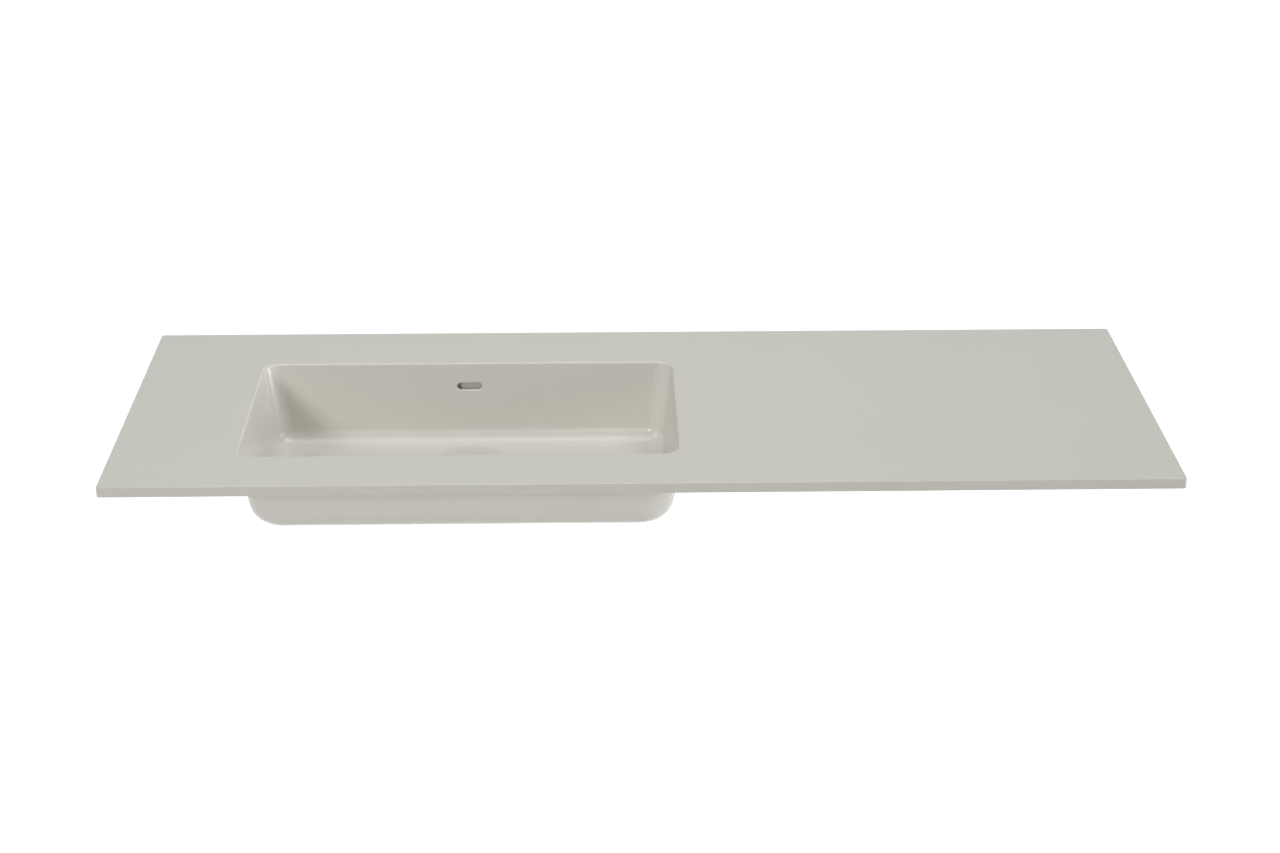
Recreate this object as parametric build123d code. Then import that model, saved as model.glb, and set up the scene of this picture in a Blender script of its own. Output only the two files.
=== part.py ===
from build123d import *
import os
from math import cos, pi, radians, sin, tan

# Vanity sink top: a thin solid-surface sheet with a rectangular bowl bonded under it, an overflow duct
# behind and under the bowl, and a push-open waste whose cap matches the sheet.
# The origin is the middle of the sheet's rear edge, on its underside. X runs along the sheet, Y towards
# the wall and Z up. A depth is measured down from the sheet's top face. All lengths are in millimetres.

# Sheet
deck_width = 1200.0
deck_depth = 450.0
deck_thickness = 12.0
deck_corner_radius = 3.0
deck_ease_radius = 1.2

# Basin opening, walls and floor
basin_length = 500.0
basin_width = 270.0
basin_from_left = 142.5
basin_from_front = 79.5
basin_depth = 95.0
rim_corner_radius = 20.0
floor_corner_radius = 21.0
rim_round_radius = 2.5
side_slope_deg = 8.8
front_slope_deg = 12.0
rear_slope_deg = 12.0
floor_fillet_radius = 19.0

# Outside of the bowl; its corners are wider than those inside
bowl_wall = 6.0
outer_rim_corner_radius = 31.0
outer_floor_corner_radius = 43.0
outer_side_slope_deg = 7.6
outer_front_slope_deg = 10.0
under_fillet_radius = 26.5

# Bonding flange of the bowl and the rebate that it sits in
flange_width = 20.0
flange_thickness = 6.0
flange_corner_radius = 30.0
rebate_depth = 4.0
rebate_clearance = 0.5

# Overflow slot in the rear wall
slot_length = 30.3
slot_height = 7.8
slot_depth = 28.5
slot_round_radius = 2.0
slot_lip_share = 0.98

# Overflow duct
duct_bore_width = 40.0
duct_gap_at_slot = 6.0
duct_wall = 3.0
duct_lip_width = 8.0
duct_lip_thickness = 3.0
duct_bend_radius = 16.0
duct_top_gap = 3.0
chamber_radius = 41.0
chamber_height = 18.0
chamber_floor = 4.0

# Waste seat in the bowl's floor
waste_from_rear = 95.5
dish_radius = 56.0
dish_fall = 1.5
seat_clearance = 0.5
boss_margin = 5.0
boss_height = 6.0
waste_hole_radius = 22.5

# Waste body
waste_flange_radius = 32.0
waste_flange_thickness = 2.5
waste_cone_rim = 3.0
waste_cone_fall = 2.0
waste_thread_radius = 20.95
waste_bore_radius = 18.0
waste_length = 60.0
groove_depth = 0.6
groove_width = 1.6
tail_chamfer = 0.8
window_count = 4
window_width = 14.0
window_margin = 1.5
cross_depth = 13.5
cross_thickness = 4.0
cross_arm_width = 3.0
cross_hub_radius = 10.0

# Seals, washer and nut
flange_gasket_thickness = 1.5
flange_gasket_inset = 1.0
seal_clearance = 0.2
thread_clearance = 0.05
cone_seal_radius = 29.0
cone_seal_height = 6.0
cone_seal_rim = 2.0
cone_nose_height = 2.5
cone_nose_clearance = 0.3
washer_thickness = 1.2
nut_across_flats = 50.0
nut_height = 9.0
nut_chamfer = 1.5

# Push-open mechanism
housing_radius = 7.0
housing_thread_clearance = 0.05
housing_bore_radius = 5.5
housing_length = 32.0
housing_floor = 2.0
housing_drain_radius = 1.5
collar_across_flats = 18.0
collar_height = 4.0
circlip_inset = 0.8
circlip_thickness = 0.8
circlip_reach = 0.7
circlip_clearance = 0.05
circlip_gap_deg = 40.0
circlip_bore_clearance = 0.6
stem_radius = 3.0
piston_clearance = 0.06
piston_height = 8.0
stop_gap = 0.3
spigot_radius = 3.2
spigot_height = 2.0
spring_wire_radius = 0.45
spring_wire_sides = 4
spring_mean_radius = 4.4
spring_turns = 5
spring_end_gap = 0.05

# Plug
plug_travel = 6.0
closed_gap = 0.5
cap_radius = 33.0
cap_thickness = 7.0
cap_edge_radius = 1.0
cap_recess_depth = 1.8
cap_recess_clearance = 0.4
pad_thickness = 0.8
pad_inset = 1.5
carrier_radius = 23.5
carrier_thickness = 2.0
carrier_hub_radius = 6.0
carrier_hub_height = 6.0
thread_engagement = 5.5
stem_thread_clearance = 0.05
plug_seal_radius = 20.5
plug_seal_clearance = 0.3

# One length by which every cutting solid runs past the face that it cuts
overrun = 1.0

# Places worked out from the sizes above
basin_left = -deck_width / 2 + basin_from_left
basin_right = basin_left + basin_length
basin_front = -deck_depth + basin_from_front
basin_rear = basin_front + basin_width
waste_x = (basin_left + basin_right) / 2
waste_y = basin_rear - waste_from_rear
side_slope = tan(radians(side_slope_deg))
front_slope = tan(radians(front_slope_deg))
rear_slope = tan(radians(rear_slope_deg))
outer_side_slope = tan(radians(outer_side_slope_deg))
outer_front_slope = tan(radians(outer_front_slope_deg))

flange_top_depth = deck_thickness - rebate_depth
flange_under_depth = flange_top_depth + flange_thickness
bowl_under_depth = basin_depth + bowl_wall
seat_top_depth = basin_depth + dish_fall
seat_floor_depth = seat_top_depth + waste_flange_thickness + flange_gasket_thickness
boss_radius = waste_flange_radius + seat_clearance + boss_margin
boss_under_depth = bowl_under_depth + boss_height
chamber_floor_depth = bowl_under_depth + chamber_height
duct_under_depth = chamber_floor_depth + chamber_floor
nut_top_depth = duct_under_depth + cone_seal_height + washer_thickness
nut_under_depth = nut_top_depth + nut_height
tail_depth = seat_top_depth + waste_length
cross_top_depth = seat_top_depth + cross_depth
collar_top_depth = cross_top_depth - collar_height
cap_under_depth = seat_top_depth - plug_travel - closed_gap
cap_top_depth = cap_under_depth - cap_thickness
carrier_top_depth = cap_under_depth - cap_recess_depth + pad_thickness
carrier_under_depth = carrier_top_depth + carrier_thickness
hub_under_depth = carrier_under_depth + carrier_hub_height
circlip_top_depth = collar_top_depth + circlip_inset
circlip_under_depth = circlip_top_depth + circlip_thickness
piston_top_depth = circlip_under_depth + stop_gap
piston_under_depth = piston_top_depth + piston_height
housing_under_depth = cross_top_depth + housing_length
spring_floor_depth = housing_under_depth - housing_floor


def level(depth):
    """Height above the origin of a depth below the sheet's top."""
    return deck_thickness - depth


def at_waste(depth):
    """Place on the waste's axis at a depth."""
    return Pos(waste_x, waste_y, level(depth))


def waste_disc(radius, top_depth, under_depth):
    """Upright cylinder on the waste's axis between two depths."""
    height = under_depth - top_depth
    return at_waste((top_depth + under_depth) / 2) * Cylinder(radius, height)


def waste_ring(outer_radius, inner_radius, top_depth, under_depth):
    """Upright tube on the waste's axis between two depths."""
    ring = waste_disc(outer_radius, top_depth, under_depth)
    return ring - waste_disc(inner_radius, top_depth - overrun, under_depth + overrun)


def waste_turned(*profile):
    """Solid turned round the waste's axis from points of radius and depth."""
    points = [(radius, level(depth)) for radius, depth in profile]
    face = make_face(Polyline(*points, close=True))
    return Pos(waste_x, waste_y) * revolve(Plane.XZ * face, Axis.Z)


def rectangle_between(x0, x1, y0, y1, radius, depth):
    """Horizontal face with rounded corners at a depth."""
    middle = Pos((x0 + x1) / 2, (y0 + y1) / 2, level(depth))
    return middle * RectangleRounded(x1 - x0, y1 - y0, radius)


def inner_outline(depth):
    """Outline of the basin's inner walls at a depth."""
    radius = rim_corner_radius + (floor_corner_radius - rim_corner_radius) * depth / basin_depth
    x0 = basin_left + side_slope * depth
    x1 = basin_right - side_slope * depth
    y0 = basin_front + front_slope * depth
    y1 = basin_rear - rear_slope * depth
    return rectangle_between(x0, x1, y0, y1, radius, depth)


def outer_outline(depth, grow=0):
    """Outline of the bowl's outer walls at a depth, moved outwards by grow."""
    radius_growth = (outer_floor_corner_radius - outer_rim_corner_radius) / basin_depth
    radius = outer_rim_corner_radius + radius_growth * depth + grow
    margin = bowl_wall + grow
    x0 = basin_left + outer_side_slope * depth - margin
    x1 = basin_right - outer_side_slope * depth + margin
    y0 = basin_front + outer_front_slope * depth - margin
    y1 = basin_rear - rear_slope * depth + margin
    return rectangle_between(x0, x1, y0, y1, radius, depth)


def tapered_form(top_outline, under_outline, edge_radius=None):
    """Solid between two outlines, with its lowest edge rounded if asked."""
    form = loft(Sketch() + [top_outline, under_outline], ruled=True)
    if edge_radius is None:
        return form
    lowest = form.faces().sort_by(Axis.Z)[0]
    return fillet(lowest.edges(), edge_radius)


def flange_plate(grow, top_depth, under_depth):
    """Plate with the outline of the bonding flange, moved outwards by grow."""
    margin = bowl_wall + flange_width + grow
    outline = rectangle_between(
        basin_left - margin,
        basin_right + margin,
        basin_front - margin,
        basin_rear + margin,
        flange_corner_radius + grow,
        under_depth,
    )
    return extrude(outline, under_depth - top_depth)


def deck_sheet():
    """Sheet with eased edges, the rounded basin opening and the rebate under it."""
    outline = rectangle_between(
        -deck_width / 2, deck_width / 2, -deck_depth, 0, deck_corner_radius, deck_thickness
    )
    sheet = extrude(outline, deck_thickness)
    top = sheet.faces().sort_by(Axis.Z)[-1]
    sheet = fillet(top.edges(), deck_ease_radius)
    sheet = sheet - tapered_form(inner_outline(-overrun), inner_outline(deck_thickness + overrun))
    rim = sheet.faces().sort_by(Axis.Z)[-1].inner_wires()[0]
    sheet = fillet(rim.edges(), rim_round_radius)
    return sheet - flange_plate(rebate_clearance, flange_top_depth, deck_thickness + overrun)


def bowl_outside():
    """Outer form of the bowl with its flange and the boss of the waste."""
    top = outer_outline(flange_top_depth)
    shell = tapered_form(top, outer_outline(bowl_under_depth), under_fillet_radius)
    shell = shell + flange_plate(0, flange_top_depth, flange_under_depth)
    return shell + waste_disc(boss_radius, basin_depth, boss_under_depth)


def slot_plane():
    """Plane on the rear wall's inner face at the overflow slot, facing into the basin."""
    slope = radians(rear_slope_deg)
    origin = (waste_x, basin_rear - rear_slope * slot_depth, level(slot_depth))
    return Plane(origin=origin, x_dir=(1, 0, 0), z_dir=(0, -cos(slope), sin(slope)))


def slot_cutter():
    """Stadium bar through the rear wall with a mouth that flares by a quarter round."""
    bar = extrude(slot_plane() * SlotOverall(slot_length, slot_height), -bowl_wall - overrun)
    flared = SlotOverall(slot_length + 2 * slot_round_radius, slot_height + 2 * slot_round_radius)
    mouth = extrude(slot_plane() * flared, -slot_round_radius)
    # The lip is the ring that the wall keeps inside the mouth, with its inner edge rounded
    lip = mouth - bar
    inner_edges = [edge for edge in lip.edges() if is_on_slot_mouth(edge)]
    lip = fillet(inner_edges, slot_round_radius * slot_lip_share)
    return bar + (mouth - lip)


def is_on_slot_mouth(edge):
    """True for an edge of the slot's own outline on the wall's inner face."""
    sample_shares = (0, 0.5, 1)
    points = [slot_plane().to_local_coords(edge @ share) for share in sample_shares]
    on_face = all(abs(point.Z) < slot_round_radius / 2 for point in points)
    reach = (slot_height + slot_round_radius) / 2
    return on_face and all(abs(point.Y) < reach for point in points)


def basin_bowl():
    """Bowl with tapered walls, dished floor, waste seat, overflow slot and bonding flange."""
    bowl = bowl_outside()
    bowl = bowl - tapered_form(inner_outline(0), inner_outline(basin_depth), floor_fillet_radius)
    bowl = bowl - waste_turned(
        (0, basin_depth - overrun),
        (dish_radius, basin_depth - overrun),
        (dish_radius, basin_depth),
        (waste_flange_radius + seat_clearance, seat_top_depth),
        (waste_flange_radius + seat_clearance, seat_floor_depth),
        (0, seat_floor_depth),
    )
    bowl = bowl - waste_disc(waste_hole_radius, basin_depth, boss_under_depth + overrun)
    return bowl - slot_cutter()


def duct_form(grow, top_depth, floor_depth, bend_radius):
    """Channel shape behind and under the bowl, moved outwards by grow, down to a floor depth."""
    back = basin_rear - rear_slope * slot_depth + bowl_wall + duct_gap_at_slot + grow
    half = duct_bore_width / 2 + grow
    profile = Polyline(
        (waste_y, level(top_depth)),
        (back, level(top_depth)),
        (back, level(floor_depth)),
        (waste_y, level(floor_depth)),
        close=True,
    )
    side = Plane.YZ * make_face(profile)
    leg = Pos(waste_x - half) * extrude(side, 2 * half)
    heel = [edge for edge in leg.edges().filter_by(Axis.X) if edge.center().Y > waste_y]
    leg = fillet(ShapeList(heel).sort_by(Axis.Z)[0], bend_radius)
    return leg + waste_disc(chamber_radius + grow, bowl_under_depth - bowl_wall, floor_depth)


def overflow_duct():
    """Moulded channel with a bonding lip that follows the bowl's wall, fillet and floor."""
    outside = duct_form(duct_wall, flange_under_depth, duct_under_depth, duct_bend_radius + duct_wall)
    lip_span = duct_form(
        duct_wall + duct_lip_width, flange_under_depth, duct_under_depth, duct_bend_radius
    )
    skin_under = bowl_under_depth + duct_lip_thickness
    bowl_skin = tapered_form(
        outer_outline(flange_top_depth, duct_lip_thickness),
        outer_outline(skin_under, duct_lip_thickness),
        under_fillet_radius + duct_lip_thickness,
    )
    duct = outside + (lip_span & bowl_skin)
    bore_top = flange_under_depth + duct_top_gap
    duct = duct - duct_form(0, bore_top, chamber_floor_depth, duct_bend_radius)
    duct = duct - bowl_outside()
    return duct - waste_disc(waste_hole_radius, boss_under_depth, duct_under_depth + overrun)


def waste_body():
    """Threaded waste with a coned flange, overflow windows, a cross with a hub, and its tail."""
    flange_under = seat_top_depth + waste_flange_thickness
    cone_rim = waste_flange_radius - waste_cone_rim
    body = waste_turned(
        (waste_bore_radius, seat_top_depth + waste_cone_fall),
        (cone_rim, seat_top_depth),
        (waste_flange_radius, seat_top_depth),
        (waste_flange_radius, flange_under),
        (waste_thread_radius, flange_under),
        (waste_thread_radius, nut_under_depth),
        (waste_thread_radius - groove_depth, nut_under_depth + groove_depth),
        (waste_thread_radius - groove_depth, nut_under_depth + groove_width),
        (waste_thread_radius, nut_under_depth + groove_width),
        (waste_thread_radius, tail_depth - tail_chamfer),
        (waste_thread_radius - tail_chamfer, tail_depth),
        (waste_bore_radius, tail_depth),
    )
    window_top = boss_under_depth + window_margin
    window_height = chamber_floor_depth - window_margin - window_top
    for index in range(window_count):
        turn = Rot(0, 0, (index + 0.5) * 360 / window_count)
        arm = Pos(waste_bore_radius / 2) * Box(waste_bore_radius, cross_arm_width, cross_thickness)
        body = body + at_waste(cross_top_depth + cross_thickness / 2) * turn * arm
    for index in range(window_count):
        turn = Rot(0, 0, index * 360 / window_count)
        window = Box(waste_thread_radius, window_width, window_height)
        window = Pos(waste_thread_radius) * window
        body = body - at_waste(window_top + window_height / 2) * turn * window
    body = body + waste_disc(cross_hub_radius, cross_top_depth, cross_top_depth + cross_thickness)
    bore = housing_radius + housing_thread_clearance
    return body - waste_disc(
        bore, cross_top_depth - overrun, cross_top_depth + cross_thickness + overrun
    )


def flange_gasket():
    """Flat ring between the waste's flange and the seat in the bowl."""
    top = seat_top_depth + waste_flange_thickness
    outer = waste_flange_radius - flange_gasket_inset
    return waste_ring(outer, waste_thread_radius + seal_clearance, top, seat_floor_depth)


def lower_gasket():
    """Cone seal under the duct, with its nose in the duct's hole."""
    nose = waste_hole_radius - cone_nose_clearance
    bore = waste_thread_radius + seal_clearance
    under = duct_under_depth + cone_seal_height
    return waste_turned(
        (bore, duct_under_depth - cone_nose_height),
        (nose, duct_under_depth - cone_nose_height),
        (nose, duct_under_depth),
        (cone_seal_radius - cone_seal_rim, duct_under_depth),
        (cone_seal_radius, under - cone_seal_rim),
        (cone_seal_radius, under),
        (bore, under),
    )


def slip_washer():
    """Thin ring that lets the nut turn without dragging the cone seal."""
    top = duct_under_depth + cone_seal_height
    return waste_ring(cone_seal_radius, waste_thread_radius + seal_clearance, top, nut_top_depth)


def backnut():
    """Hexagonal nut with chamfered corners."""
    corner_radius = nut_across_flats / 2 / cos(pi / 6)
    outline = at_waste(nut_under_depth) * RegularPolygon(corner_radius, 6)
    nut = extrude(outline, nut_height)
    rounding = waste_turned(
        (0, nut_top_depth),
        (corner_radius - nut_chamfer, nut_top_depth),
        (corner_radius, nut_top_depth + nut_chamfer / 2),
        (corner_radius, nut_under_depth - nut_chamfer / 2),
        (corner_radius - nut_chamfer, nut_under_depth),
        (0, nut_under_depth),
    )
    bore = waste_thread_radius + thread_clearance
    return (nut & rounding) - waste_disc(bore, nut_top_depth - overrun, nut_under_depth + overrun)


def mechanism_housing():
    """Tube screwed through the hub, with a hexagonal collar, a closed end and a ring groove."""
    corner_radius = collar_across_flats / 2 / cos(pi / 6)
    collar = extrude(at_waste(cross_top_depth) * RegularPolygon(corner_radius, 6), collar_height)
    housing = collar + waste_disc(housing_radius, cross_top_depth, housing_under_depth)
    housing = housing - waste_disc(housing_bore_radius, collar_top_depth - overrun, spring_floor_depth)
    groove = housing_bore_radius + circlip_reach
    housing = housing - waste_disc(
        groove, circlip_top_depth - circlip_clearance, circlip_under_depth + circlip_clearance
    )
    drain_top = spring_floor_depth - overrun
    return housing - waste_disc(housing_drain_radius, drain_top, housing_under_depth + overrun)


def mechanism_circlip():
    """Split ring in the housing's groove that stops the piston at the top of its travel."""
    outer = housing_bore_radius + circlip_reach - circlip_clearance
    inner = stem_radius + circlip_bore_clearance
    ring = waste_ring(outer, inner, circlip_top_depth, circlip_under_depth)
    reach = outer + overrun
    half_gap = reach * tan(radians(circlip_gap_deg / 2))
    opening = make_face(Polyline((0, 0), (reach, -half_gap), (reach, half_gap), close=True))
    opening = at_waste(circlip_under_depth + overrun) * opening
    return ring - extrude(opening, circlip_thickness + 2 * overrun)


def mechanism_spring():
    """Coil spring between the housing's floor and the piston."""
    low = level(spring_floor_depth) + spring_wire_radius + spring_end_gap
    high = level(piston_under_depth) - spring_wire_radius - spring_end_gap
    rise = (high - low) / spring_turns

    def on_coil(turn):
        angle = 2 * pi * turn
        return (spring_mean_radius * cos(angle), spring_mean_radius * sin(angle), low + rise * turn)

    half_turns = [
        ThreePointArc(on_coil(step / 2), on_coil(step / 2 + 1 / 4), on_coil(step / 2 + 1 / 2))
        for step in range(2 * spring_turns)
    ]
    path = Wire(half_turns)
    section = Plane(origin=path @ 0, z_dir=path % 0) * RegularPolygon(spring_wire_radius, spring_wire_sides)
    return Pos(waste_x, waste_y) * sweep(section, path=path)


def mechanism_stem():
    """Rod with a piston below and a threaded end that the carrier screws on."""
    thread_top = hub_under_depth - thread_engagement
    rod = waste_disc(stem_radius, thread_top, piston_top_depth)
    piston = waste_disc(housing_bore_radius - piston_clearance, piston_top_depth, piston_under_depth)
    spigot = waste_disc(spigot_radius, piston_under_depth, piston_under_depth + spigot_height)
    return rod + piston + spigot


def plug_carrier():
    """Metal disc with a threaded socket for the stem."""
    disc = waste_disc(carrier_radius, carrier_top_depth, carrier_under_depth)
    hub = waste_disc(carrier_hub_radius, carrier_under_depth, hub_under_depth)
    bore = waste_disc(
        stem_radius + stem_thread_clearance, hub_under_depth - thread_engagement, hub_under_depth + overrun
    )
    return disc + hub - bore


def plug_seal():
    """Rubber washer under the carrier that closes on the flange's cone."""
    cone_rim = waste_flange_radius - waste_cone_rim
    cone_slope = waste_cone_fall / (cone_rim - waste_bore_radius)
    closing_depth = seat_top_depth + (cone_rim - plug_seal_radius) * cone_slope
    under = closing_depth - plug_travel - plug_seal_clearance
    return waste_ring(plug_seal_radius, carrier_hub_radius, carrier_under_depth, under)


def cap_pad():
    """Thin bonding disc between the carrier and the cap."""
    return waste_disc(carrier_radius - pad_inset, carrier_top_depth - pad_thickness, carrier_top_depth)


def plug_cap():
    """Cap in the sheet's material, with eased edges and a shallow recess under it."""
    cap = waste_disc(cap_radius, cap_top_depth, cap_under_depth)
    cap = fillet(cap.edges().filter_by(GeomType.CIRCLE).group_by(Axis.Z)[-1], cap_edge_radius)
    recess = carrier_radius + cap_recess_clearance
    return cap - waste_disc(recess, cap_under_depth - cap_recess_depth, cap_under_depth + overrun)


pieces = [
    deck_sheet,
    basin_bowl,
    overflow_duct,
    waste_body,
    flange_gasket,
    lower_gasket,
    slip_washer,
    backnut,
    mechanism_housing,
    mechanism_circlip,
    mechanism_spring,
    mechanism_stem,
    plug_carrier,
    plug_seal,
    cap_pad,
    plug_cap,
]

os.makedirs("parts", exist_ok=True)
for piece in pieces:
    export_step(piece(), f"parts/{piece.__name__}.step")
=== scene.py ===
import logging
import math
from dataclasses import dataclass, field, replace
from enum import Enum

import bmesh
import bpy
from mathutils import Euler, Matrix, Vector


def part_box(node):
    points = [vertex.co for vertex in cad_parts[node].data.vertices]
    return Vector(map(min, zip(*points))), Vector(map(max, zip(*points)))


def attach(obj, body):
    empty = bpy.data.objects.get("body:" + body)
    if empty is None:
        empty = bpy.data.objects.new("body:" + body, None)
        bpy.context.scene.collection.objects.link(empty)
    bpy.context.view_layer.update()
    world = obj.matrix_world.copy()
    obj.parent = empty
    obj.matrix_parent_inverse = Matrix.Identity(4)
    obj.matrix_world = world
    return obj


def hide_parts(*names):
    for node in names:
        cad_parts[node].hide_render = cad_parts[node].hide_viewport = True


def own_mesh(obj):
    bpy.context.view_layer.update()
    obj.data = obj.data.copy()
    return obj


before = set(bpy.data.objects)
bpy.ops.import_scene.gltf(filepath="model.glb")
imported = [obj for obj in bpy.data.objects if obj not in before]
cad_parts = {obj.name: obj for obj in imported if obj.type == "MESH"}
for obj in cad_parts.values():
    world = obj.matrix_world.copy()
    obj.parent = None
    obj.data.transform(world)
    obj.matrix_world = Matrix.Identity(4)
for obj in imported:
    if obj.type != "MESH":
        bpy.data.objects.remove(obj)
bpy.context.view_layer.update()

MM = 0.001
CREASE_DEG = 30.0
WHITE = (1.0, 1.0, 1.0)
OPAQUE = 1.0

Colour = tuple[float, float, float]
Place = tuple[float, float, float]
Range = tuple[float, float]
SocketValue = float | tuple[float, ...] | bpy.types.NodeSocket

logging.basicConfig(level=logging.INFO, format="%(message)s")
log = logging.getLogger("vanity_top")


class Slot(Enum):
    """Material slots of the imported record."""

    SOLID_SURFACE = "solid_surface"
    DUCT_MOULDING = "duct_moulding"
    CHROMED_BRASS = "chromed_brass"
    BARE_BRASS = "bare_brass"
    SPRING_STEEL = "spring_steel"
    BLACK_RUBBER = "black_rubber"
    WHITE_PLASTIC = "white_plastic"
    GREY_FOAM = "grey_foam"


class Body(Enum):
    """The body that the new pieces ride on."""

    TOP = "top"


class Graph:
    """Places nodes in one node tree and joins their sockets."""

    def __init__(self, tree: bpy.types.NodeTree) -> None:
        """Takes the tree that gets the nodes and empties it."""
        self.tree = tree
        tree.nodes.clear()

    def add(
        self, kind: str, settings: dict[str, object] | None = None, **inputs: SocketValue
    ) -> bpy.types.Node:
        """Adds one node.

        Args:
            kind: The node's type without its ShaderNode prefix.
            settings: Attributes of the node, such as its operation.
            inputs: Values of its sockets, with a socket's spaces written as underscores.

        Returns:
            The node.
        """
        node = self.tree.nodes.new(kind if kind.startswith("Node") else f"ShaderNode{kind}")
        for name, value in (settings or {}).items():
            setattr(node, name, value)
        for name, value in inputs.items():
            self.set(node, name.replace("_", " "), value)
        return node

    def set(self, node: bpy.types.Node, socket: str | int, value: SocketValue) -> None:
        """Gives a socket a value, or joins it to another socket.

        Args:
            node: The node that has the socket.
            socket: The socket's name or number.
            value: A plain value or an output socket.
        """
        target = node.inputs[socket]
        if isinstance(value, bpy.types.NodeSocket):
            self.tree.links.new(value, target)
        else:
            target.default_value = value

    def math(
        self, operation: str, first: SocketValue, second: SocketValue
    ) -> bpy.types.NodeSocket:
        """Works on two values.

        Args:
            operation: What is done with them, by its name in Blender.
            first: The first value.
            second: The second value.

        Returns:
            The result.
        """
        node = self.add("Math", {"operation": operation})
        self.set(node, 0, first)
        self.set(node, 1, second)
        return node.outputs[0]

    def remap(self, value: SocketValue, low: float, high: float) -> bpy.types.NodeSocket:
        """Stretches a value of 0 to 1 between two levels and returns the result."""
        node = self.add("MapRange", Value=value, To_Min=low, To_Max=high)
        return node.outputs["Result"]

    def smooth(self, value: SocketValue, span: Range, levels: Range) -> bpy.types.NodeSocket:
        """Eases from one level to another while a value crosses a span.

        Args:
            value: The socket that crosses the span.
            span: Where the change starts and ends.
            levels: The result before and after the span.

        Returns:
            The result.
        """
        node = self.add(
            "MapRange",
            {"interpolation_type": "SMOOTHSTEP"},
            Value=value,
            From_Min=span[0],
            From_Max=span[1],
            To_Min=levels[0],
            To_Max=levels[1],
        )
        return node.outputs["Result"]

    def mix(self, share: SocketValue, first: Colour, second: Colour) -> bpy.types.NodeSocket:
        """Mixes two colours.

        Args:
            share: The second colour's share.
            first: The first colour.
            second: The second colour.

        Returns:
            The mixed colour.
        """
        node = self.add("Mix", {"data_type": "RGBA"})
        places = [place for place, socket in enumerate(node.inputs) if socket.type == "RGBA"]
        for place, colour in zip(places, (first, second)):
            self.set(node, place, (*colour, OPAQUE))
        self.set(node, 0, share)
        return next(socket for socket in node.outputs if socket.type == "RGBA")

    def mix_shaders(
        self, share: SocketValue, first: bpy.types.Node, second: bpy.types.Node
    ) -> bpy.types.Node:
        """Mixes two shaders.

        Args:
            share: The second shader's share.
            first: The first shader.
            second: The second shader.

        Returns:
            The mixing node.
        """
        node = self.add("MixShader")
        for place, value in enumerate((share, first.outputs[0], second.outputs[0])):
            self.set(node, place, value)
        return node


class EffectGroup:
    """A shader node group that several finishes share, built once."""

    name: str = ""
    inputs: dict[str, float] = {}
    outputs: tuple[str, ...] = ()

    def fill(self, graph: Graph, source: bpy.types.Node, target: bpy.types.Node) -> None:
        """Adds the group's own nodes between its input and output nodes."""
        raise NotImplementedError

    def tree(self) -> bpy.types.NodeTree:
        """Builds the group's tree at the first call.

        Returns:
            The tree.
        """
        found = bpy.data.node_groups.get(self.name)
        if found:
            return found
        tree = bpy.data.node_groups.new(self.name, "ShaderNodeTree")
        graph = Graph(tree)
        for title, value in self.inputs.items():
            socket = tree.interface.new_socket(
                title, in_out="INPUT", socket_type="NodeSocketFloat"
            )
            socket.default_value = value
        for title in self.outputs:
            tree.interface.new_socket(title, in_out="OUTPUT", socket_type="NodeSocketFloat")
        self.fill(graph, graph.add("NodeGroupInput"), graph.add("NodeGroupOutput"))
        return tree

    def place(self, graph: Graph, **values: float) -> bpy.types.Node:
        """Places the group in a material with its own values and returns the group node."""
        return graph.add("Group", {"node_tree": self.tree()}, **values)


class MineralBody(EffectGroup):
    """Soft clouding and fine mineral grain of a filled, cast and sanded sheet."""

    name = "mineral_body"
    inputs = {"Cloud Scale": 6.0, "Grain Scale": 1400.0, "Grain Share": 0.3}
    outputs = ("Tone", "Haze", "Height")
    cloud_detail = 4.0
    grain_detail = 2.0
    swirl_detail = 6.0
    swirl_twist = 1.2
    swirls_per_cloud = 9.0

    def fill(self, graph: Graph, source: bpy.types.Node, target: bpy.types.Node) -> None:
        """Adds clouding, grain and the swirl that sanding leaves.

        Args:
            graph: The group's graph.
            source: The node that brings the inputs in.
            target: The node that takes the outputs.
        """
        place = graph.add("TexCoord").outputs["Object"]
        cloud_scale = source.outputs["Cloud Scale"]
        grain_scale = source.outputs["Grain Scale"]
        share = source.outputs["Grain Share"]
        cloud = graph.add("TexNoise", Vector=place, Scale=cloud_scale, Detail=self.cloud_detail)
        grain = graph.add("TexNoise", Vector=place, Scale=grain_scale, Detail=self.grain_detail)
        swirl = graph.add(
            "TexNoise",
            Vector=place,
            Scale=graph.math("MULTIPLY", cloud_scale, self.swirls_per_cloud),
            Detail=self.swirl_detail,
            Distortion=self.swirl_twist,
        )
        rest = graph.math("SUBTRACT", 1.0, share)
        clouded = graph.math("MULTIPLY", cloud.outputs[0], rest)
        grained = graph.math("MULTIPLY", grain.outputs[0], share)
        graph.set(target, "Tone", graph.math("ADD", clouded, grained))
        graph.set(target, "Haze", swirl.outputs[0])
        graph.set(target, "Height", grain.outputs[0])


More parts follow.
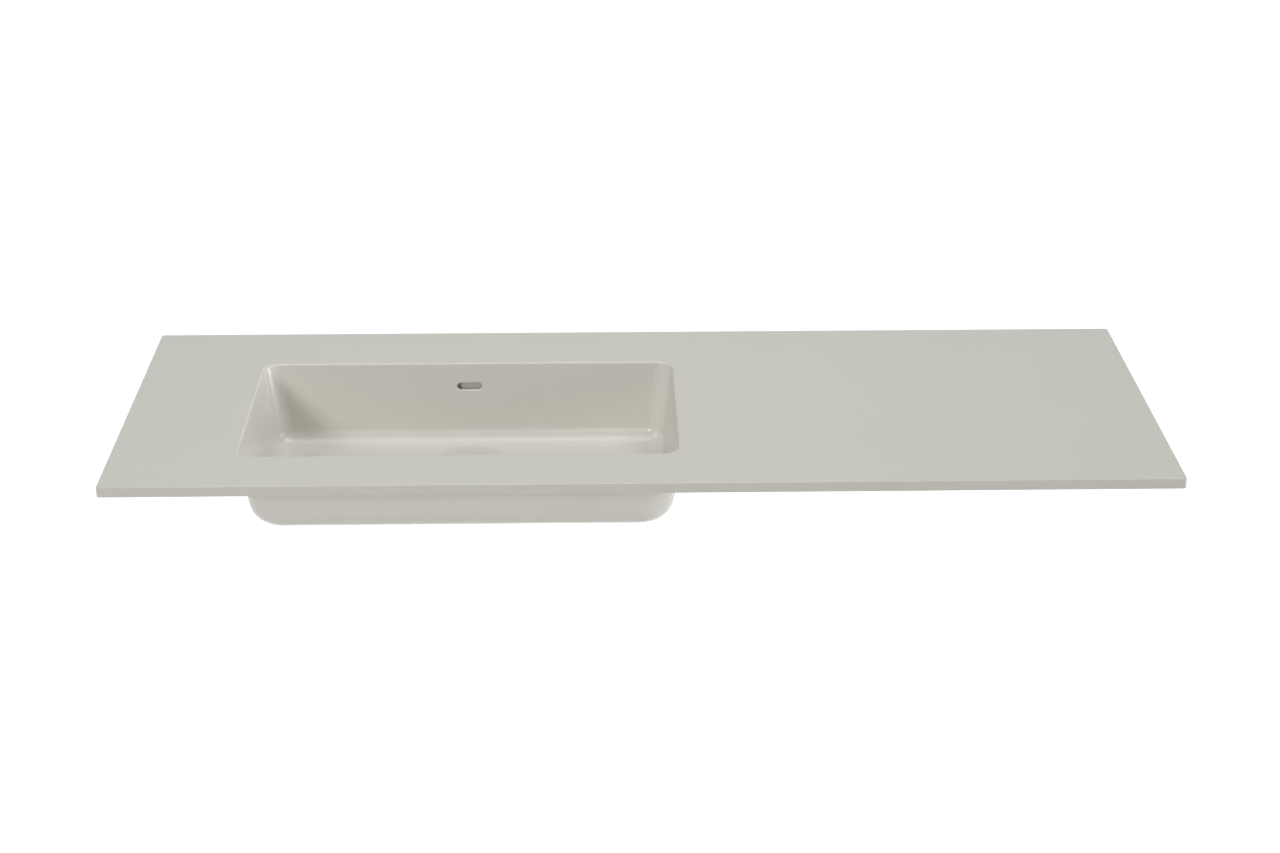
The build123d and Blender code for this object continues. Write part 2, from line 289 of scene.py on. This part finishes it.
class HandlingMarks(EffectGroup):
    """Fine scuffs and smears that handling leaves on metal, rubber and plastic."""

    name = "handling_marks"
    inputs = {"Smear Scale": 30.0, "Scuff Scale": 300.0}
    outputs = ("Smear", "Scuff", "Height")
    smear_detail = 5.0
    scuff_detail = 3.0
    round_the_axis = (1.0, 1.0, 12.0)

    def fill(self, graph: Graph, source: bpy.types.Node, target: bpy.types.Node) -> None:
        """Adds smears, and scuffs that run round the fitting's axis.

        Args:
            graph: The group's graph.
            source: The node that brings the inputs in.
            target: The node that takes the outputs.
        """
        place = graph.add("TexCoord").outputs["Object"]
        smear_scale = source.outputs["Smear Scale"]
        scuff_scale = source.outputs["Scuff Scale"]
        smear = graph.add("TexNoise", Vector=place, Scale=smear_scale, Detail=self.smear_detail)
        turned = graph.add("Mapping", Vector=place, Scale=self.round_the_axis).outputs[0]
        scuff = graph.add("TexNoise", Vector=turned, Scale=scuff_scale, Detail=self.scuff_detail)
        graph.set(target, "Smear", smear.outputs[0])
        graph.set(target, "Scuff", scuff.outputs[0])
        graph.set(target, "Height", scuff.outputs[0])


@dataclass(frozen=True)
class Finish:
    """A material with its two tones, roughness range and marks, and its relief in metres."""

    name: str
    slot: Slot
    dark: Colour
    light: Colour
    rough_low: float
    rough_high: float
    relief: float
    metallic: float = 0.0
    specular: float = 0.5
    smear_scale: float = 30.0
    scuff_scale: float = 300.0

    def effect(self, graph: Graph) -> tuple[bpy.types.NodeSocket, ...]:
        """Places the marks of this finish.

        Args:
            graph: The material's graph.

        Returns:
            The sockets of tone, roughness mask and height.
        """
        marks = HandlingMarks().place(
            graph, Smear_Scale=self.smear_scale, Scuff_Scale=self.scuff_scale
        )
        return marks.outputs["Smear"], marks.outputs["Scuff"], marks.outputs["Height"]

    def build(self) -> bpy.types.Material:
        """Builds the material at the first call.

        Returns:
            The material.
        """
        found = bpy.data.materials.get(self.name)
        if found:
            return found
        material = bpy.data.materials.new(self.name)
        material.use_nodes = True
        graph = Graph(material.node_tree)
        tone, haze, height = self.effect(graph)
        bump = graph.add("Bump", Height=height, Distance=self.relief)
        shader = graph.add(
            "BsdfPrincipled",
            Base_Color=graph.mix(tone, self.dark, self.light),
            Roughness=graph.remap(haze, self.rough_low, self.rough_high),
            Metallic=self.metallic,
            Specular_IOR_Level=self.specular,
            Normal=bump.outputs[0],
        )
        graph.add("OutputMaterial", Surface=shader.outputs[0])
        return material

    def dress(self, piece: bpy.types.Object) -> None:
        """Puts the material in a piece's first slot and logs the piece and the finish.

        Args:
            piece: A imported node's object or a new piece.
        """
        if not piece.material_slots:
            piece.data.materials.append(None)
        piece.material_slots[0].material = self.build()
        log.info("%s dressed in %s", piece.name, self.name)


@dataclass(frozen=True)
class SolidSurface(Finish):
    """Acrylic solid surface with a sanded, satin face."""

    cloud_scale: float = 6.0
    grain_scale: float = 1400.0
    grain_share: float = 0.3

    def effect(self, graph: Graph) -> tuple[bpy.types.NodeSocket, ...]:
        """Places the mineral body of this finish.

        Args:
            graph: The material's graph.

        Returns:
            The sockets of tone, roughness mask and height.
        """
        body = MineralBody().place(
            graph,
            Cloud_Scale=self.cloud_scale,
            Grain_Scale=self.grain_scale,
            Grain_Share=self.grain_share,
        )
        return body.outputs["Tone"], body.outputs["Haze"], body.outputs["Height"]


GREIGE = SolidSurface(
    "greige_solid_surface",
    Slot.SOLID_SURFACE,
    dark=(0.627, 0.610, 0.549),
    light=(0.657, 0.640, 0.579),
    rough_low=0.23,
    rough_high=0.28,
    relief=0.000004,
)
# The cap's copy of the greige is painted about 2% darker as painted shade, so its flat top reads
# darker than the floor round it; its cloud and grain are also coarser.
CAP_SHADED_GREIGE = replace(
    GREIGE,
    name="cap_solid_surface_painted_shade",
    dark=(0.614, 0.598, 0.538),
    light=(0.644, 0.627, 0.567),
    cloud_scale=11.0,
    grain_share=0.4,
)
DUCT_PLASTIC = Finish(
    "duct_plastic",
    Slot.DUCT_MOULDING,
    dark=(0.72, 0.71, 0.64),
    light=(0.77, 0.76, 0.69),
    rough_low=0.42,
    rough_high=0.58,
    relief=0.00003,
    smear_scale=9.0,
    scuff_scale=220.0,
)
CHROME = Finish(
    "waste_chrome",
    Slot.CHROMED_BRASS,
    dark=(0.60, 0.60, 0.61),
    light=(0.68, 0.68, 0.69),
    rough_low=0.08,
    rough_high=0.18,
    relief=0.000004,
    metallic=1.0,
    smear_scale=45.0,
    scuff_scale=420.0,
)
BRASS = Finish(
    "turned_brass",
    Slot.BARE_BRASS,
    dark=(0.42, 0.28, 0.10),
    light=(0.60, 0.42, 0.17),
    rough_low=0.24,
    rough_high=0.42,
    relief=0.000015,
    metallic=1.0,
    smear_scale=60.0,
    scuff_scale=260.0,
)
STEEL = Finish(
    "spring_wire_steel",
    Slot.SPRING_STEEL,
    dark=(0.42, 0.42, 0.43),
    light=(0.56, 0.56, 0.57),
    rough_low=0.20,
    rough_high=0.34,
    relief=0.000006,
    metallic=1.0,
    smear_scale=120.0,
    scuff_scale=700.0,
)
RUBBER = Finish(
    "seal_rubber",
    Slot.BLACK_RUBBER,
    dark=(0.012, 0.012, 0.013),
    light=(0.030, 0.030, 0.031),
    rough_low=0.55,
    rough_high=0.75,
    relief=0.00003,
    smear_scale=40.0,
    scuff_scale=340.0,
)
WASHER_PLASTIC = Finish(
    "washer_plastic",
    Slot.WHITE_PLASTIC,
    dark=(0.68, 0.68, 0.66),
    light=(0.75, 0.75, 0.73),
    rough_low=0.35,
    rough_high=0.50,
    relief=0.00001,
    smear_scale=35.0,
    scuff_scale=300.0,
)
PAD_FOAM = Finish(
    "pad_foam",
    Slot.GREY_FOAM,
    dark=(0.16, 0.16, 0.16),
    light=(0.26, 0.26, 0.26),
    rough_low=0.80,
    rough_high=0.95,
    relief=0.0001,
    smear_scale=80.0,
    scuff_scale=900.0,
)


def put_in_scene(name: str, data: bpy.types.ID) -> bpy.types.Object:
    """Adds an object to the scene.

    Args:
        name: The object's name.
        data: The mesh, light or camera that it carries.

    Returns:
        The object.
    """
    thing = bpy.data.objects.new(name, data)
    bpy.context.scene.collection.objects.link(thing)
    return thing


def shade_with_creases(piece: bpy.types.Object) -> None:
    """Shades a piece smooth and keeps its hard edges sharp."""
    piece.data.shade_smooth()
    piece.data.set_sharp_from_angle(angle=math.radians(CREASE_DEG))


def upright_axis(lowest: Place, highest: Place) -> tuple[float, float]:
    """Returns where the axis of an upright round piece stands, from the corners of its box."""
    return (lowest[0] + highest[0]) / 2, (lowest[1] + highest[1]) / 2


def dress_nodes(finishes: dict[str, Finish]) -> None:
    """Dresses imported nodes, each in the finish that is given for its name."""
    for name, finish in finishes.items():
        finish.dress(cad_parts[name])


@dataclass
class Slab:
    """The sheet and the bowl bonded under it, in one material, with the duct behind them."""

    finishes: dict[str, Finish] = field(
        default_factory=lambda: {
            "deck_sheet": GREIGE,
            "basin_bowl": GREIGE,
            "overflow_duct": DUCT_PLASTIC,
        }
    )

    def build(self) -> None:
        """Dresses the sheet, the bowl and the duct."""
        dress_nodes(self.finishes)


@dataclass(frozen=True)
class Helix:
    """A line that winds up round an upright axis, with lengths in metres."""

    centre: tuple[float, float]
    radius: float
    low: float
    high: float
    turns: float

    def at(self, share: float, outward: float, upward: float) -> Vector:
        """Finds a place on the line, or near it.

        Args:
            share: How far along the line, from 0 at its low end to 1.
            outward: How far out from the line.
            upward: How far up from the line.

        Returns:
            The place.
        """
        angle = math.tau * self.turns * share
        reach = self.radius + outward
        height = self.low + (self.high - self.low) * share + upward
        return Vector(
            (
                self.centre[0] + reach * math.cos(angle),
                self.centre[1] + reach * math.sin(angle),
                height,
            )
        )

    def sweep(
        self, name: str, outline: list[tuple[float, float]], steps_per_turn: int
    ) -> bpy.types.Object:
        """Winds a closed outline along the line as a solid with flat ends.

        Args:
            name: The piece's name.
            outline: The outline's points as lengths outward and upward, in order.
            steps_per_turn: How many sections one turn has.

        Returns:
            The piece.
        """
        steps = math.ceil(self.turns * steps_per_turn)
        shape = bmesh.new()
        rings = [
            [shape.verts.new(self.at(step / steps, out, up)) for out, up in outline]
            for step in range(steps + 1)
        ]
        for lower, upper in zip(rings, rings[1:]):
            for corner in range(len(outline)):
                after = (corner + 1) % len(outline)
                shape.faces.new((lower[corner], lower[after], upper[after], upper[corner]))
        shape.faces.new(rings[0])
        shape.faces.new(rings[-1])
        bmesh.ops.recalc_face_normals(shape, faces=shape.faces)
        mesh = bpy.data.meshes.new(name)
        shape.to_mesh(mesh)
        shape.free()
        return put_in_scene(name, mesh)


@dataclass
class WasteFitting:
    """The waste with its cut thread, its seals, washer and nut; lengths are in millimetres."""

    thread_radius: float = 20.95
    thread_depth: float = 1.2
    thread_pitch: float = 2.309
    thread_steps: int = 72
    crest_share: float = 0.12
    root_share: float = 0.14
    nut_node: str = "backnut"
    run_in: float = 1.7
    run_out: float = 1.2
    finishes: dict[str, Finish] = field(
        default_factory=lambda: {
            "flange_gasket": RUBBER,
            "lower_gasket": RUBBER,
            "slip_washer": WASHER_PLASTIC,
            "backnut": BRASS,
        }
    )

    def thread_cutter(
        self, centre: tuple[float, float], low: float, high: float
    ) -> bpy.types.Object:
        """Winds the wedge that cuts the thread.

        Args:
            centre: Where the axis of the waste stands.
            low: The height at which the thread starts, in metres.
            high: The height at which it ends, in metres.

        Returns:
            The wedge.
        """
        pitch = self.thread_pitch * MM
        helix = Helix(centre, self.thread_radius * MM, low, high, (high - low) / pitch)
        mouth = pitch * (1.0 - self.crest_share) / 2
        root = pitch * self.root_share / 2
        depth = self.thread_depth * MM
        overshoot = depth / 2
        flare = mouth + (mouth - root) * overshoot / depth
        outline = [(-depth, -root), (overshoot, -flare), (overshoot, flare), (-depth, root)]
        return helix.sweep("thread_cutter", outline, self.thread_steps)

    def build_waste(self) -> bpy.types.Object:
        """Cuts the thread into a copy of the waste, below its nut.

        Returns:
            The waste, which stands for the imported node.
        """
        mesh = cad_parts["waste_body"].data.copy()
        packed_normals = mesh.attributes.get("custom_normal")
        if packed_normals:
            mesh.attributes.remove(packed_normals)
        waste = put_in_scene("threaded_waste", mesh)
        lowest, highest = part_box("waste_body")
        nut_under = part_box(self.nut_node)[0][2]
        cutter = self.thread_cutter(
            upright_axis(lowest, highest),
            lowest[2] - self.run_out * MM,
            nut_under - self.run_in * MM,
        )
        cut = waste.modifiers.new("cut_thread", "BOOLEAN")
        cut.operation = "DIFFERENCE"
        cut.solver = "EXACT"
        cut.object = cutter
        depsgraph = bpy.context.evaluated_depsgraph_get()
        waste.data = bpy.data.meshes.new_from_object(waste.evaluated_get(depsgraph))
        waste.modifiers.clear()
        bpy.data.objects.remove(cutter)
        shade_with_creases(waste)
        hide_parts("waste_body")
        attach(waste, Body.TOP.value)
        CHROME.dress(waste)
        return waste

    def build(self) -> None:
        """Cuts the waste's thread and dresses each piece of the fitting."""
        waste = self.build_waste()
        log.info("%s cut, %d faces", waste.name, len(waste.data.polygons))
        dress_nodes(self.finishes)


@dataclass
class PushOpenPlug:
    """The cap, its carrier and the mechanism that lifts them, with the wire in millimetres."""

    finishes: dict[str, Finish] = field(
        default_factory=lambda: {
            # the cap wears the greige painted darker as painted shade
            "plug_cap": CAP_SHADED_GREIGE,
            "cap_pad": PAD_FOAM,
            "plug_carrier": CHROME,
            "plug_seal": RUBBER,
            "mechanism_stem": BRASS,
            "mechanism_housing": BRASS,
            "mechanism_circlip": STEEL,
        }
    )
    wire_radius: float = 0.45
    spring_turns: float = 5.0
    spring_steps: int = 40
    wire_sides: int = 12
    closed_share: float = 0.75

    def build_spring(self) -> bpy.types.Object:
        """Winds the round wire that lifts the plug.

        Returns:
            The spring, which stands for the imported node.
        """
        lowest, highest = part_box("mechanism_spring")
        wire = self.wire_radius * MM
        centre = upright_axis(lowest, highest)
        radius = (highest[0] - lowest[0]) / 2 - wire
        helix = Helix(centre, radius, lowest[2] + wire, highest[2] - wire, self.spring_turns)
        corners = [math.tau * side / self.wire_sides for side in range(self.wire_sides)]
        outline = [(wire * math.cos(corner), wire * math.sin(corner)) for corner in corners]
        spring = helix.sweep("wound_spring", outline, self.spring_steps)
        shade_with_creases(spring)
        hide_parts("mechanism_spring")
        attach(spring, Body.TOP.value)
        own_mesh(spring)
        STEEL.dress(spring)
        return spring

    def build(self) -> None:
        """Winds the spring and dresses each piece of the plug and its mechanism."""
        spring = self.build_spring()
        log.info("%s wound, %d faces", spring.name, len(spring.data.polygons))
        dress_nodes(self.finishes)


BASIN_AIM = (-0.2075, -0.236, -0.03)
REAR_RIM_AIM = (-0.19, -0.09, 0.0)
DECK_AIM = (-0.05, -0.22, 0.0)


@dataclass
class Lamp:
    """A square studio lamp that faces a place from a bearing, in metres and watts."""

    name: str
    bearing_deg: float
    height_deg: float
    distance: float
    side: float
    power: float
    colour: Colour = WHITE
    target: Place = DECK_AIM

    def build(self) -> None:
        """Adds the lamp; a bearing of 0 is in front and 90 is at the right."""
        bearing, height = math.radians(self.bearing_deg), math.radians(self.height_deg)
        flat = math.cos(height)
        away = Vector((math.sin(bearing) * flat, -math.cos(bearing) * flat, math.sin(height)))
        data = bpy.data.lights.new(self.name, "AREA")
        data.shape = "SQUARE"
        data.size = self.side
        data.energy = self.power
        data.color = self.colour
        lamp = put_in_scene(self.name, data)
        lamp.location = Vector(self.target) + away * self.distance
        lamp.rotation_mode = "QUATERNION"
        lamp.rotation_quaternion = away.to_track_quat("Z", "Y")


@dataclass
class Studio:
    """The floor, the room's light, the lamps and the camera, with lengths in metres."""

    floor_drop: float = 0.85
    floor_side: float = 60.0
    sky: float = 0.012
    low_backdrop: float = 1.0
    high_backdrop: float = 0.42
    backdrop_low_rise: float = 0.05
    backdrop_high_rise: float = 0.35
    paper: float = 0.9
    near_glow: float = 0.62
    far_glow: float = 1.0
    glow_start: float = 1.2
    glow_full: float = 5.0
    lamps: tuple[Lamp, ...] = (
        Lamp(
            "key_lamp",
            bearing_deg=335.5,
            height_deg=21.5,
            distance=5.0,
            side=0.9,
            power=80.0,
            target=BASIN_AIM,
        ),
        Lamp(
            "front_lamp",
            bearing_deg=8.0,
            height_deg=25.0,
            distance=5.0,
            side=1.2,
            power=21.0,
            target=BASIN_AIM,
        ),
        Lamp(
            "overhead_lamp",
            bearing_deg=0.0,
            height_deg=89.9,
            distance=1.8,
            side=1.4,
            power=14.0,
            colour=(0.985, 1.0, 1.03),
            target=REAR_RIM_AIM,
        ),
        Lamp(
            "right_low_lamp",
            bearing_deg=90.0,
            height_deg=5.0,
            distance=5.0,
            side=1.8,
            power=184.0,
            colour=(0.985, 1.0, 1.02),
        ),
        Lamp(
            "right_high_lamp",
            bearing_deg=90.0,
            height_deg=60.0,
            distance=5.0,
            side=1.8,
            power=66.0,
            colour=(0.985, 1.0, 1.01),
        ),
        Lamp(
            "left_lamp",
            bearing_deg=270.0,
            height_deg=35.0,
            distance=5.0,
            side=1.8,
            power=51.0,
            colour=(0.985, 1.0, 1.02),
        ),
    )
    camera_place: Place = (-0.0497, -2.8265, 1.1359)
    camera_pitch_deg: float = 66.051
    camera_yaw_deg: float = -1.100
    camera_lens_mm: float = 67.35
    sensor_mm: float = 36.0

    def build_floor(self) -> None:
        """Adds a pale floor that reads as white paper and keeps the shadow."""
        mesh = bpy.data.meshes.new("floor")
        half = self.floor_side / 2
        level = -self.floor_drop
        corners = ((-half, -half), (half, -half), (half, half), (-half, half))
        mesh.from_pydata([(*corner, level) for corner in corners], [], [(0, 1, 2, 3)])
        floor = put_in_scene("floor", mesh)
        floor.data.materials.append(self.floor_material())

    def floor_material(self) -> bpy.types.Material:
        """Makes a pale paper that looks white in view and is clear from below.

        Returns:
            The material.
        """
        material = bpy.data.materials.new("floor_paper")
        material.use_nodes = True
        graph = Graph(material.node_tree)
        paper = graph.add("BsdfDiffuse", Color=(self.paper, self.paper, self.paper, OPAQUE))
        place = graph.add("TexCoord").outputs["Object"]
        reach = graph.add("VectorMath", {"operation": "LENGTH"}, Vector=place).outputs["Value"]
        span = (self.glow_start, self.glow_full)
        rise = graph.smooth(reach, span, (self.near_glow, self.far_glow))
        glow = graph.add("Emission", Color=(*WHITE, OPAQUE), Strength=rise)
        lifted = graph.add("AddShader")
        graph.set(lifted, 0, paper.outputs[0])
        graph.set(lifted, 1, glow.outputs[0])
        seen = graph.mix_shaders(self.seen_directly(graph), paper, lifted)
        from_below = graph.add("NewGeometry").outputs["Backfacing"]
        sided = graph.mix_shaders(from_below, seen, graph.add("BsdfTransparent"))
        graph.add("OutputMaterial", Surface=sided.outputs[0])
        return material

    def seen_directly(self, graph: Graph) -> bpy.types.NodeSocket:
        """Tells the rays that show a surface from the rays that light one.

        Args:
            graph: The graph of the floor's material or of the room.

        Returns:
            A socket of 1 for camera, glossy and transmission rays, and else 0.
        """
        path = graph.add("LightPath")
        names = ("Is Camera Ray", "Is Glossy Ray", "Is Transmission Ray")
        camera, glossy, through = (path.outputs[name] for name in names)
        return graph.math("MAXIMUM", graph.math("MAXIMUM", camera, glossy), through)

    def build_room(self) -> None:
        """Lights the room and shows a white backdrop, which gloss sees fall to grey high up."""
        world = bpy.data.worlds.new("studio_room")
        world.use_nodes = True
        graph = Graph(world.node_tree)
        outward = graph.add("TexCoord").outputs["Generated"]
        rise = graph.add("SeparateXYZ", Vector=outward).outputs["Z"]
        span = (self.backdrop_low_rise, self.backdrop_high_rise)
        shade = graph.smooth(rise, span, (self.low_backdrop, self.high_backdrop))
        in_view = graph.add("LightPath").outputs["Is Camera Ray"]
        shown_level = graph.math("MAXIMUM", in_view, shade)
        fill = graph.add("Background", Color=(*WHITE, OPAQUE), Strength=self.sky)
        white = graph.add("Background", Color=(*WHITE, OPAQUE), Strength=shown_level)
        shown = graph.mix_shaders(self.seen_directly(graph), fill, white)
        graph.add("OutputWorld", Surface=shown.outputs[0])
        bpy.context.scene.world = world

    def build_camera(self) -> None:
        """Adds the camera at the photograph's place and angle."""
        data = bpy.data.cameras.new("camera")
        data.lens = self.camera_lens_mm
        data.sensor_width = self.sensor_mm
        data.sensor_fit = "HORIZONTAL"
        camera = put_in_scene("camera", data)
        camera.location = self.camera_place
        turn = (math.radians(self.camera_pitch_deg), 0.0, math.radians(self.camera_yaw_deg))
        camera.rotation_euler = Euler(turn, "XYZ")
        bpy.context.scene.camera = camera

    def build(self) -> None:
        """Adds the floor, the room's light, the lamps and the camera."""
        bpy.context.scene.view_settings.view_transform = "Standard"
        self.build_floor()
        self.build_room()
        for lamp in self.lamps:
            lamp.build()
        self.build_camera()
        log.info("studio ready with %d lamps", len(self.lamps))


def main() -> None:
    """Builds the object and its studio."""
    for part in (Slab(), WasteFitting(), PushOpenPlug(), Studio()):
        part.build()


if __name__ == "__main__":
    main()
